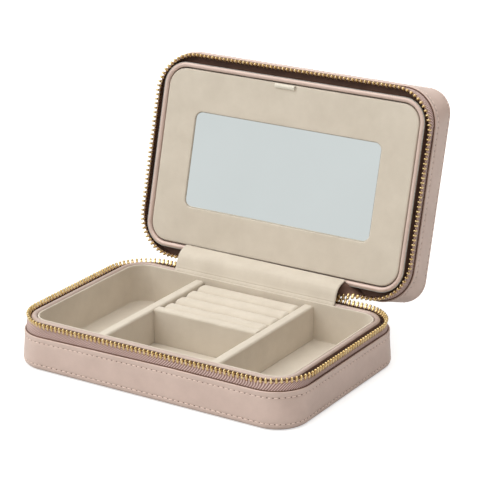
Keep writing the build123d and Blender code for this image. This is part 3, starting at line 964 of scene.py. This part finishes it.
def shell(grid, thickness):
    """A closed thin shell round a grid of points (rows x columns x 3)."""
    rows, columns, _ = grid.shape
    du = np.gradient(grid, axis=0)
    dv = np.gradient(grid, axis=1)
    normal = np.cross(du, dv)
    normal /= np.linalg.norm(normal, axis=2, keepdims=True)
    front = (grid + normal * thickness / 2).reshape(-1, 3)
    back = (grid - normal * thickness / 2).reshape(-1, 3)
    count = rows * columns
    faces = grid_faces(rows, columns)
    faces += [tuple(i + count for i in face[::-1]) for face in faces]
    border = [(i, i + 1) for i in range(columns - 1)]
    border += [((rows - 1) * columns + i + 1, (rows - 1) * columns + i) for i in range(columns - 1)]
    border += [((i + 1) * columns, i * columns) for i in range(rows - 1)]
    border += [(i * columns + columns - 1, (i + 1) * columns + columns - 1) for i in range(rows - 1)]
    faces += [(a, b, b + count, a + count) for a, b in border]
    return np.concatenate([front, back]), faces


def smooth_path(points, per_span):
    """A Catmull-Rom curve through a few points."""
    points = [np.array(p, float) for p in points]
    points = [2 * points[0] - points[1]] + points + [2 * points[-1] - points[-2]]
    made = []
    for i in range(1, len(points) - 2):
        a, b, c, d = points[i - 1:i + 3]
        for k in range(per_span):
            t = k / per_span
            made.append(0.5 * (2 * b + (c - a) * t + (2 * a - 5 * b + 4 * c - d) * t * t
                               + (3 * b - a - 3 * c + d) * t ** 3))
    made.append(points[-2])
    return np.array(made)


def tube(path, radius, sides=10, closed=False):
    """A round rod along a path, its ends domed, or a ring of rod if it is closed."""
    path = np.array(path, float)
    along = (np.roll(path, -1, axis=0) - np.roll(path, 1, axis=0)) if closed else np.gradient(path, axis=0)
    along /= np.linalg.norm(along, axis=1, keepdims=True)
    side = np.cross(along[0], (0.3, 0.5, 0.8))
    turns = np.linspace(0, 2 * math.pi, sides, endpoint=False)[:, None]
    rings = []
    for i, (point, way) in enumerate(zip(path, along)):
        side = side - way * (side @ way)
        side /= np.linalg.norm(side)
        circle = np.cos(turns) * side + np.sin(turns) * np.cross(way, side)
        caps = [(0.0, 1.0)]
        if i == 0 and not closed:
            caps = [(-math.sin(a), math.cos(a)) for a in (1.35, 0.9, 0.45)] + caps
        if i == len(path) - 1 and not closed:
            caps = caps + [(math.sin(a), math.cos(a)) for a in (0.45, 0.9, 1.35)]
        for forward, share in caps:
            rings.append(point + way * forward * radius + circle * radius * share)
    if closed:
        return np.concatenate(rings), grid_faces(len(rings), sides, True, True, flip=True)
    return ring_solid(rings)


def plate(plan, thick, bevel, counts=(8, 6, 5)):
    """A bevelled plate of a plan, lying on z = 0 to its thickness."""
    levels = [(-bevel, 0.0), (0.0, bevel), (0.0, thick - bevel), (-bevel, thick)]
    return ring_solid([matched_ring(grown(plan, by), z, counts=counts) for by, z in levels])


def moved(part, x, y, z, upright=False):
    """A part put at a place; upright stands its z along -y first."""
    verts = np.asarray(part[0], float)
    if upright:
        verts = np.column_stack([verts[:, 0], -verts[:, 2], verts[:, 1]])
    return verts + (x, y, z), part[1]


# ---------------------------------------------------------------- mirror panel

PANEL = (86.9, 53.9, 11.6)
PANEL_BACK_Z = 21.5
PANEL_FACE_Z = 25.5
GLASS = (65.0, 29.6, 4.6)
GLASS_Y = -0.9
GLASS_BACK_Z = 22.6
GLASS_FACE_Z = 24.6
TAB_X = -4.6
TAB_WIDE = 14.0


def matched_ring(plan, z, centre_y=0.0, counts=(44, 26, 7)):
    """A ring of points with the same number on each side and corner, whatever the plan's size."""
    along_x, along_y, corner = counts
    numbers = [along_x // 2, corner, along_y, corner, along_x, corner, along_y, corner, along_x // 2]
    made = []
    for run, number in enumerate(numbers):
        for k in range(number):
            x, y, _, _ = plan_place(plan, run, k / number)
            made.append((x, y + centre_y, z))
    return np.array(made)


def make_mirror_panel():
    """The suede-covered panel with its recess, the glass in it and the ribbon tab."""
    edge = 0.9
    lip = 0.45
    quarter = np.radians(range(0, 91, 18))
    rings = [matched_ring(grown(PANEL, -edge * (1 - math.sin(a))), PANEL_BACK_Z + edge * (1 - math.cos(a)))
             for a in quarter]
    rings += [matched_ring(grown(PANEL, -edge * (1 - math.cos(a))), PANEL_FACE_Z - edge * (1 - math.sin(a)))
              for a in quarter]
    outer = rings[-1]
    inner = matched_ring(grown(GLASS, lip + 0.1), PANEL_FACE_Z, GLASS_Y)
    spans = 12
    rings += [outer + (inner - outer) * k / spans for k in range(1, spans)]
    rings += [matched_ring(grown(GLASS, 0.1 + lip * (1 - math.sin(a))),
                           PANEL_FACE_Z - lip * (1 - math.cos(a)), GLASS_Y) for a in quarter]
    rings.append(matched_ring(grown(GLASS, 0.1), GLASS_BACK_Z, GLASS_Y))
    verts, faces = ring_solid(rings)
    face = verts[:, 2] > PANEL_FACE_Z - 0.3
    verts[:, 2] += face * (0.10 * soft_noise(verts, 26.0, 3) + 0.03 * soft_noise(verts, 6.0, 4))
    make_piece("mirror_panel_cover", (verts, faces), SUEDE, "mirror_door", "mirror_panel")

    levels = [(-0.1, GLASS_BACK_Z, 0.0), (0.0, GLASS_BACK_Z + 0.1, 0.0), (0.0, GLASS_FACE_Z - 0.4, 0.0),
              (-0.06, GLASS_FACE_Z - 0.28, 0.0), (-0.42, GLASS_FACE_Z, 0.26)]
    solid = ring_solid([matched_ring(grown(GLASS, by), z, GLASS_Y + up) for by, z, up in levels])
    glass = make_piece("glass", solid, MIRROR, "mirror_door", "mirror_glass")
    glass.data.polygons.foreach_set("use_smooth", [len(f.vertices) == 4 for f in glass.data.polygons])

    path = smooth_path([(53.4, 24.2), (53.5, 25.4), (53.2, 26.3), (52.4, 26.7), (51.5, 26.4), (51.0, 25.9),
                        (51.4, 25.65), (52.4, 25.7)], 4)
    across = np.linspace(-0.5, 0.5, 25)
    lift = 0.25 + 0.75 * (across + 0.5) ** 1.5
    grid = grid_of(TAB_X + across * TAB_WIDE, path[:, 0, None],
                   PANEL_FACE_Z + (path[:, 1, None] - PANEL_FACE_Z) * (0.55 + 0.75 * lift))
    make_piece("pull_ribbon", shell(grid, 0.35), RIBBON, "mirror_door", "panel_pull_tab")

    for name, body, y, z in (("lid_catch_magnets", "lid", (LID_LINER[1] + LEDGE[1]) / 2, LEDGE_TOP_Z - 1.2),
                             ("panel_magnets", "mirror_door", PANEL[1] - 2.0, PANEL_BACK_Z)):
        disc = plate((1.4, 1.4, 1.38), 1.2, 0.15, (2, 2, 8))
        make_piece(f"{name}_discs", join([moved(disc, x, y, z) for x in (-40.0, 40.0)]), STEEL, body, name)


# ---------------------------------------------------------------- hinge flap and spine


# The flap's section in y and z at its two edges.
FLAP_FOOT = [(54.4, 26.8), (54.45, 28.1)]
FLAP_LEFT = FLAP_FOOT + [(55.0, 29.1), (56.1, 30.9), (57.0, 32.7), (57.9, 34.4), (59.0, 36.2), (60.6, 37.8),
                         (62.9, 39.1), (65.6, 39.9), (67.8, 40.35)]
FLAP_RIGHT = FLAP_FOOT + [(54.9, 29.1), (55.7, 30.6), (56.3, 32.2), (56.9, 33.9), (57.8, 35.6), (58.9, 36.9),
                          (61.1, 38.2), (64.1, 38.9), (67.6, 39.7)]
FLAP_SEAM_Z = 29.7


def make_flap():
    """The suede flap inside the hinge: sewn in behind the tray's wall, over the rim and into the
    seam under the mirror panel."""
    left = smooth_path(FLAP_LEFT, 8)
    right = smooth_path(FLAP_RIGHT, 8)
    share = np.linspace(0, 1, 80)[None, :, None]
    path = left[:, None] * (1 - share) + right[:, None] * share
    pinch = 0.28 * np.exp(-((path[..., 1] - FLAP_SEAM_Z) / 0.22) ** 2) * (path[..., 0] < 57)
    x = FLAP_X0 + (FLAP_X1 - FLAP_X0) * share[..., 0]
    wave = np.array([noise.noise(Vector((v / 30.0, 3.1, 0.0))) for v in x[0]])
    run = np.linspace(0, 1, len(left))[:, None]
    slack = 0.35 * np.sin(np.pi * np.clip((run - 0.2) / 0.7, 0, 1)) ** 2 * wave[None]
    grid = grid_of(x, path[..., 0] + 0.8 * pinch - 0.7 * slack, path[..., 1] - 0.4 * pinch + 0.7 * slack)
    flap = make_piece("hinge_flap", shell(grid, 0.6), SUEDE, None, "hinge_flap_base_hem",
                      "hinge_flap_lid_hem")
    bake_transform(flap)


SPINE_Y = 64.65
SPINE_LOW_Z = 8.0
SPINE_HIGH_Z = 47.0
SPINE_FIXED = (64.75, 26.3)
SPINE_FREE = (68.34, 29.08)


def spine_share(z):
    """The share of the lid's swing that the spine takes at a height of the closed case: the one at
    which the swung point projects to that same share of the way from the fixed to the free end."""
    fixed = np.array(SPINE_FIXED)
    way = np.array(SPINE_FREE) - fixed
    low, high = 0.0, 1.0
    for _ in range(30):
        t = (low + high) / 2
        point = swung(np.array([(0.0, SPINE_Y, z)]), smoothstep(t) * LID_OPEN)[0, 1:]
        if (point - fixed) @ way / (way @ way) > t:
            low = t
        else:
            high = t
    return float(smoothstep((low + high) / 2))


def make_spine():
    """The leather strip outside the hinge, glued to both halves, drawn bent as it lies with the lid open."""
    heights = np.arange(SPINE_LOW_Z, SPINE_HIGH_Z + 0.01, 0.6)
    columns = 60
    x = np.linspace(-SPINE_HALF + 0.5, SPINE_HALF - 0.5, columns)
    grid = np.zeros((len(heights), columns, 3))
    for i, z in enumerate(heights):
        y = SPINE_Y + 0.08 * np.array([noise.noise(Vector((v / 14.0, z / 9.0, 7.0))) for v in x])
        closed = np.column_stack([x, y, np.full(columns, z)])
        grid[i] = swung(closed, spine_share(z) * LID_OPEN)
    spine = make_piece("hinge_spine", shell(grid[::-1], 0.95), ROSE, None, "hinge_spine_base_half",
                       "hinge_spine_lid_half")
    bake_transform(spine)


# ---------------------------------------------------------------- necklace store behind the mirror

LEDGE = (84.0, 51.0, 8.6)
LEDGE_TOP_Z = 21.4
HOOK_COUNT = 6
HOOK_PITCH = 24.0
POCKET_X = 78.0
POCKET_FOOT_Y = -49.0
POCKET_MOUTH_Y = -8.0
POCKET_DEEP = 8.0
POCKET_FRONT_Z = FLOOR_Z + POCKET_DEEP


def make_lid_well():
    """The lid's suede well, behind the mirror."""
    ledge = LID_LINER[0] - LEDGE[0]
    edge = arc((0.4, LEDGE_TOP_Z - 0.4), -0.4, 0.4, 0, 90, 30)
    turn = [(ledge - 0.5 + 0.5 * math.sin(a), LEDGE_TOP_Z - 0.5 + 0.5 * math.cos(a))
            for a in np.radians(range(0, 91, 30))]
    wall = [(ledge, z) for z in (17.5, 14.0, 10.5, 7.5)]
    profile = [(0.0, 16.0)] + edge + turn + wall + well_foot(ledge) + [(7.0, FLOOR_Z)]
    lined_well("lid_well", LID_LINER, profile, "lid", "lid_lining")


def make_hooks():
    """The padded bar across the lid's well and the hooks in it."""
    padded_piece("necklace_hook_bar", (-72.0, 36.0, FLOOR_Z), (72.0, 44.0, 7.0), 1.3, 1.0, "x", 21, "lid")
    hooks = []
    for i in range(HOOK_COUNT):
        x = (i - (HOOK_COUNT - 1) / 2) * HOOK_PITCH
        hooks.append(tube(smooth_path([(x, 40, 6.6), (x, 40, 11.2), (x, 40.3, 12.5), (x, 41.4, 13.0),
                                       (x, 43.4, 13.1)], 5), 0.85, 12))
    make_piece("necklace_hook_rods", join(hooks), BRASS, "lid", "necklace_hooks")


def make_pocket_front():
    """The pocket's front, gathered at its hemmed mouth."""
    section = [(POCKET_FOOT_Y, 0.4), (-36.0, 0.6), (-22.0, 0.6), (POCKET_MOUTH_Y - 0.4, 0.7),
               (POCKET_MOUTH_Y, 1.1), (POCKET_MOUTH_Y - 0.5, 1.5), (POCKET_MOUTH_Y - 4.0, 1.5)]
    path = smooth_path([(y, POCKET_FRONT_Z + z) for y, z in section], 7)
    x = np.linspace(-POCKET_X, POCKET_X, 200)
    gather = np.clip((path[:, 0] - POCKET_FOOT_Y) / (POCKET_MOUTH_Y - POCKET_FOOT_Y), 0, 1) ** 1.5
    ripple = np.sin(x / 1.35 + 1.5 * np.sin(x / 17.0)) * (0.75 + 0.25 * np.sin(x / 5.3))
    grid = grid_of(x, path[:, 0, None], path[:, 1, None] + 0.42 * gather[:, None] * ripple[None])
    front = make_piece("pocket_front", shell(grid, 0.6), SUEDE, "lid", "necklace_pocket_front")


def make_pocket_gusset():
    """The strip round three sides of the pocket, folded between its front and the well."""
    out = POCKET_X - 0.6
    corner = 3.0
    low_y = POCKET_FOOT_Y + 0.6
    ends = [(out, POCKET_MOUTH_Y), (out, low_y + corner)]
    turn = [(out - corner + corner * math.cos(a), low_y + corner - corner * math.sin(a))
            for a in np.radians(range(0, 91, 15))]
    half_path = [(out, y) for y in np.linspace(ends[0][1], ends[1][1], 20)[:-1]] + turn
    path = np.array(half_path + [(x, low_y) for x in np.linspace(out - corner, corner - out, 90)[1:-1]]
                    + [(-x, y) for x, y in half_path[::-1]])
    levels = np.linspace(FLOOR_Z, POCKET_FRONT_Z + 0.2, 9)
    way = np.gradient(path, axis=0)
    way /= np.linalg.norm(way, axis=1, keepdims=True)
    fold = 0.35 * np.sin(np.pi * (levels - FLOOR_Z) / POCKET_DEEP)
    grid = grid_of(path[:, None, 0] + way[:, None, 1] * fold[None],
                   path[:, None, 1] - way[:, None, 0] * fold[None], levels)
    gusset = make_piece("pocket_gusset", shell(grid, 0.6), SUEDE, "lid", "necklace_pocket_gusset")


# ---------------------------------------------------------------- zipper slider, link and pull

SLIDER_X = 46.3
SLIDER_LONG = 10.0
SLIDER_HIGH = 7.6
SLIDER_OUTER_Y = 63.85
SLIDER_INNER_Y = 61.35
PLATE_T = 1.0
CLOSING_Z = 28.75
BRIDGE_Y = 66.95
LINK_CENTRES = 3.6
LINK_R = 1.1
PULL_LONG = 19.5
PULL_WIDE = 7.0
STOP_X = SPINE_HALF + 0.8


def make_slider():
    """The slider's two plates with their flanges and bridge, the ring link, the pull and the stops."""
    half = SLIDER_LONG / 2
    tall = SLIDER_HIGH / 2
    parts = [moved(plate((half, tall, 1.8), PLATE_T, 0.22), SLIDER_X, y, CLOSING_Z, True)
             for y in (SLIDER_OUTER_Y + PLATE_T, SLIDER_INNER_Y)]
    rail = plate((half - 0.9, 0.35, 0.2), 0.85, 0.12, (6, 2, 3))
    for y in (SLIDER_OUTER_Y + 0.1, SLIDER_INNER_Y + 0.75):
        for side in (-1, 1):
            parts.append(moved(rail, SLIDER_X, y, CLOSING_Z + side * (tall - 0.4), True))
    parts.append(moved(plate((1.3, 0.55, 0.5), 2.6, 0.1, (4, 2, 4)), SLIDER_X + 2.6, SLIDER_OUTER_Y + 0.05,
                       CLOSING_Z + 2.3, True))
    root = SLIDER_OUTER_Y + PLATE_T - 0.2
    rise = [(-3.0, root), (-3.0, BRIDGE_Y - 0.9), (-2.6, BRIDGE_Y - 0.15), (-1.6, BRIDGE_Y)]
    bridge = rise + [(-x, y) for x, y in rise[::-1]]
    parts.append(tube(smooth_path([(SLIDER_X + x, y, CLOSING_Z) for x, y in bridge], 4), 0.45, 12))
    make_piece("slider_casting", join(parts), BRASS, "slider", "zipper_slider")

    ends = ((CLOSING_Z, 0.0), (CLOSING_Z - LINK_CENTRES, math.pi))
    ring = [(SLIDER_X, BRIDGE_Y + LINK_R * math.cos(a + start), z + LINK_R * math.sin(a + start))
            for z, start in ends for a in np.linspace(0, math.pi, 13)]
    make_piece("link_ring", tube(ring, 0.48, 10, closed=True), BRASS, "link", "zipper_link")

    pivot_z = CLOSING_Z - LINK_CENTRES
    top_z = pivot_z - 3.0
    bottom_z = pivot_z - PULL_LONG
    tall = (top_z - bottom_z) / 2
    parts = [tube([(SLIDER_X + x, BRIDGE_Y, pivot_z) for x in np.linspace(-2.2, 2.2, 6)], 0.42, 12),
             moved(plate((PULL_WIDE / 2, tall, 1.5), 1.2, 0.3, (8, 14, 6)), SLIDER_X, BRIDGE_Y + 0.6,
                   bottom_z + tall, True),
             moved(plate((PULL_WIDE / 2 - 1.1, tall - 1.1, 0.9), 1.5, 0.15, (8, 14, 6)), SLIDER_X,
                   BRIDGE_Y + 0.75, bottom_z + tall, True)]
    for side in (-1, 1):
        parts.append(moved(plate((0.6, 2.0, 0.5), 1.2, 0.2, (2, 4, 4)), SLIDER_X + side * 2.4, BRIDGE_Y + 0.6,
                           pivot_z - 1.4, True))
    make_piece("pull_plate", join(parts), BRASS, "pull", "zipper_pull")

    stop = plate((0.7, 0.68, 0.35), 2.0, 0.2, (2, 2, 4))
    stops = [moved(stop, x, CHAIN[1] + 1.0, CLOSING_Z - 0.68, True) for x in (-STOP_X, STOP_X)]
    make_piece("end_stops", join(stops), BRASS, "base", "base_zipper_end_stops")


# ---------------------------------------------------------------- camera, light and floor

CAMERA_TARGET = Vector((12.188, 17.153, 72.341)) * MM
CAMERA_DISTANCE = 1190.971 * MM
CAMERA_AZIMUTH = math.radians(32.392)
CAMERA_ELEVATION = math.radians(19.598)
CAMERA_ROLL = math.radians(-0.143)
CAMERA_LENS = 155.03
FLOOR_HALF = 6.0
FLOOR_COUNT = 13


def direction(azimuth, elevation):
    """The way to a place in the room; azimuth 0 is the front, and it turns to the right."""
    return Vector((math.sin(azimuth) * math.cos(elevation), -math.cos(azimuth) * math.cos(elevation),
                   math.sin(elevation)))


def make_camera():
    """The camera, on a line from the target, a little above the case and to its right."""
    back = direction(CAMERA_AZIMUTH, CAMERA_ELEVATION)
    data = bpy.data.cameras.new("camera")
    data.lens = CAMERA_LENS
    data.sensor_width = 36.0
    data.clip_start = 0.05
    data.clip_end = 100.0
    camera = in_scene("camera", data)
    turn = (-back).to_track_quat("-Z", "Y").to_matrix().to_4x4()
    place = Matrix.Translation(CAMERA_TARGET + back * CAMERA_DISTANCE)
    camera.matrix_world = place @ turn @ Matrix.Rotation(CAMERA_ROLL, 4, "Z")
    bpy.context.scene.camera = camera


def soft_sun(name, azimuth, elevation, strength, spread_deg, colour=(1, 1, 1)):
    """Even light from one direction, softened by its width; angles are in degrees."""
    data = bpy.data.lights.new(name, "SUN")
    data.energy = strength
    data.color = colour
    data.angle = math.radians(spread_deg)
    towards = direction(math.radians(azimuth), math.radians(elevation))
    in_scene(name, data).rotation_euler = towards.to_track_quat("Z", "Y").to_euler()


def make_studio():
    """A white sweep in a pale cool room, lit evenly from above and the left."""
    world = bpy.data.worlds.new("studio")
    bpy.context.scene.world = world
    world.use_nodes = True
    tree = world.node_tree
    way = node(tree, "ShaderNodeSeparateXYZ", Vector=coordinates(tree, "Generated"))
    across = spread(tree, way.outputs[0], 0.0, 1.0, start=-1.0)
    room = tree.nodes["Background"]
    tree.links.new(ramp(tree, across, [(0.3, (0.68, 0.705, 0.70)), (0.75, (0.16, 0.135, 0.12))]),
                   room.inputs["Color"])
    overhead = ramp(tree, way.outputs[2], [(0.25, (0.0, 0.0, 0.0)), (0.9, (1.0, 1.0, 0.98))])
    ceiling = node(tree, "ShaderNodeBackground", Color=overhead, Strength=0.95)
    both = tree.nodes.new("ShaderNodeAddShader")
    tree.links.new(room.outputs[0], both.inputs[0])
    tree.links.new(ceiling.outputs[0], both.inputs[1])
    tree.links.new(both.outputs[0], tree.nodes["World Output"].inputs["Surface"])
    soft_sun("key", -42.0, 46.0, 0.95, 55.0, (1.0, 0.985, 0.96))
    soft_sun("top", -20.0, 78.0, 0.45, 70.0)
    side = np.linspace(-FLOOR_HALF, FLOOR_HALF, FLOOR_COUNT) / MM
    verts = [(x, y, 0.0) for y in side for x in side]
    faces = grid_faces(FLOOR_COUNT, FLOOR_COUNT, flip=True)
    floor = make_piece("floor", (verts, faces), floor_material("floor"), None)
    bpy.context.scene.view_settings.view_transform = "Standard"


make_camera()
make_studio()
leather_band("base", BASE_BAND_Z, BASE_FACE_CORNER_R, LIP_DIP)
leather_band("lid", LID_BAND_Z, LID_FACE_CORNER_R, 0.0)
end_panel("base_bottom_leather", BASE_FACE_CORNER_R, "base", "base_bottom_panel")
end_panel("lid_top_leather", LID_FACE_CORNER_R, "lid", "lid_top_panel")
# The base's rim takes the darker copy of the rose leather as painted shade.
inner_rim("base", BASE_RIM, BASE_RIM_WIDE, BASE_RIM_Z, RIM_SHADED_LEATHER)
inner_rim("lid", LID_RIM, LID_RIM_WIDE, LID_RIM_Z, ROSE)
make_zipper()
make_tray()
make_mirror_panel()
make_flap()
make_spine()
make_lid_well()
make_hooks()
make_pocket_front()
make_pocket_gusset()
make_slider()

for name, obj in frame["nodes"].items():
    slot_name = next((p["material_slot"] for p in frame["record"]["subparts"] if p["node"] == name), None)
    obj.data.materials.clear()
    obj.data.materials.append(SLOT_MATERIALS.get(slot_name, SUEDE))
